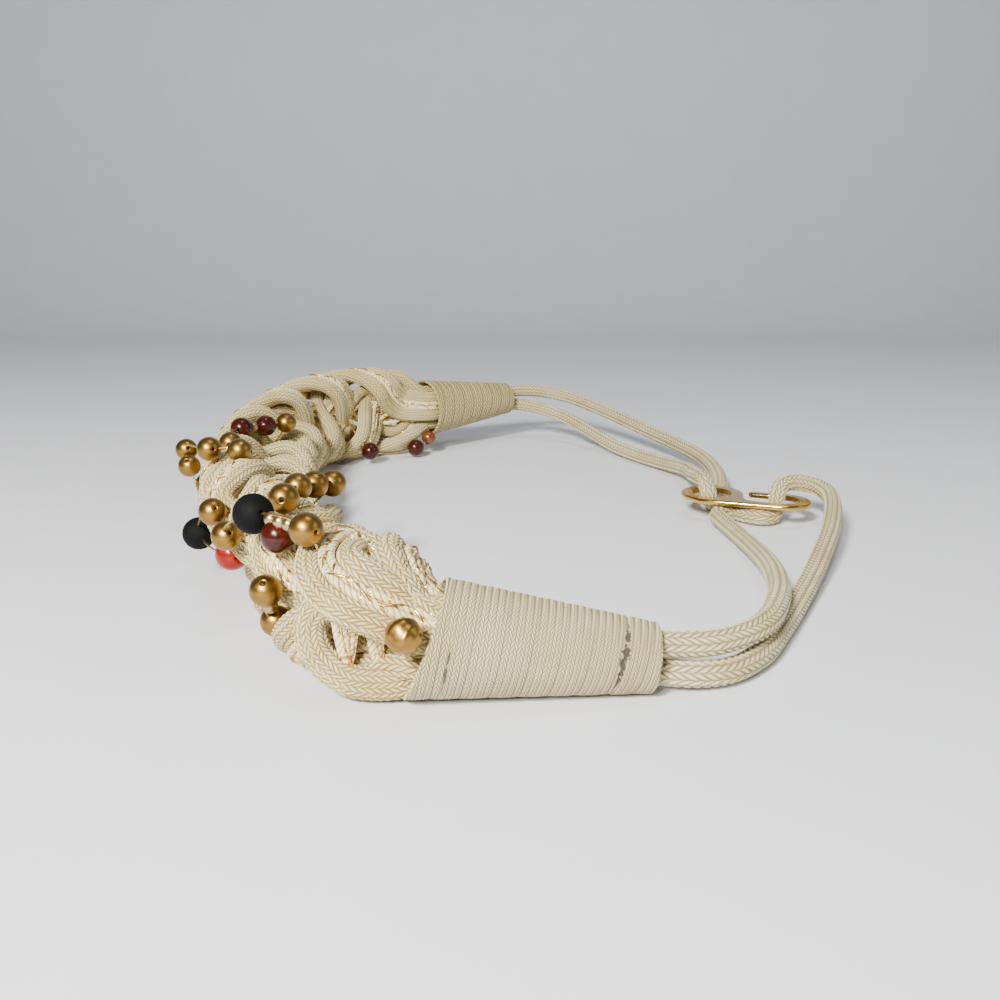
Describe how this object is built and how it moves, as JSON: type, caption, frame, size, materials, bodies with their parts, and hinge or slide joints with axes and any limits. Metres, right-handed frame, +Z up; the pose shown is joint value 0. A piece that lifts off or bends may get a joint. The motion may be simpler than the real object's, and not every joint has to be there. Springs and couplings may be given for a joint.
{
  "type": "rope belt",
  "caption": "Rope belt with a plaited cord front set with beads, a wound cone at each end of it, and cord loops that a flat metal hook joins.",
  "frame": {"origin": "on the surface that the belt lies on, below the middle of its box", "axes": "+Z up from the surface, +X along the belt's longest side from the far cone towards the near cone, -Y towards the plaited front and +Y towards the hook"},
  "size_m": [0.3284, 0.2272, 0.0407],
  "materials": {
    "plait": "ivory braided cord with thin twisted cords and gold coloured thread",
    "cord": "ivory braided cord",
    "winding": "flattened ivory braided cord wound side by side",
    "core": "gathered cord ends",
    "gold_bead": "satin bronze gold bead",
    "black_bead": "black bead",
    "red_bead": "glossy red bead",
    "garnet_bead": "dark red bead",
    "copper_bead": "copper brown bead",
    "hook": "polished gold tone"
  },
  "bodies": {
    "root": {"black_bead_01": "black_bead", "black_bead_02": "black_bead", "black_bead_03": "black_bead", "copper_bead_01": "copper_bead", "far_bight": "cord", "far_core": "core", "far_winding": "winding", "garnet_bead_01": "garnet_bead", "garnet_bead_02": "garnet_bead", "garnet_bead_03": "garnet_bead", "garnet_bead_04": "garnet_bead", "garnet_bead_05": "garnet_bead", "garnet_bead_06": "garnet_bead", "gold_bead_01": "gold_bead", "gold_bead_02": "gold_bead", "gold_bead_03": "gold_bead", "gold_bead_04": "gold_bead", "gold_bead_05": "gold_bead", "gold_bead_06": "gold_bead", "gold_bead_07": "gold_bead", "gold_bead_08": "gold_bead", "gold_bead_09": "gold_bead", "gold_bead_10": "gold_bead", "gold_bead_11": "gold_bead", "gold_bead_12": "gold_bead", "gold_bead_13": "gold_bead", "gold_bead_14": "gold_bead", "gold_bead_15": "gold_bead", "gold_bead_16": "gold_bead", "gold_bead_17": "gold_bead", "gold_bead_18": "gold_bead", "gold_bead_19": "gold_bead", "gold_bead_20": "gold_bead", "gold_bead_21": "gold_bead", "gold_bead_22": "gold_bead", "gold_bead_23": "gold_bead", "gold_bead_24": "gold_bead", "hook": "hook", "near_bight": "cord", "near_core": "core", "near_winding": "winding", "plait_strand_1": "plait", "plait_strand_2": "plait", "plait_strand_3": "plait", "red_bead_01": "red_bead"}
  },
  "joints": []
}
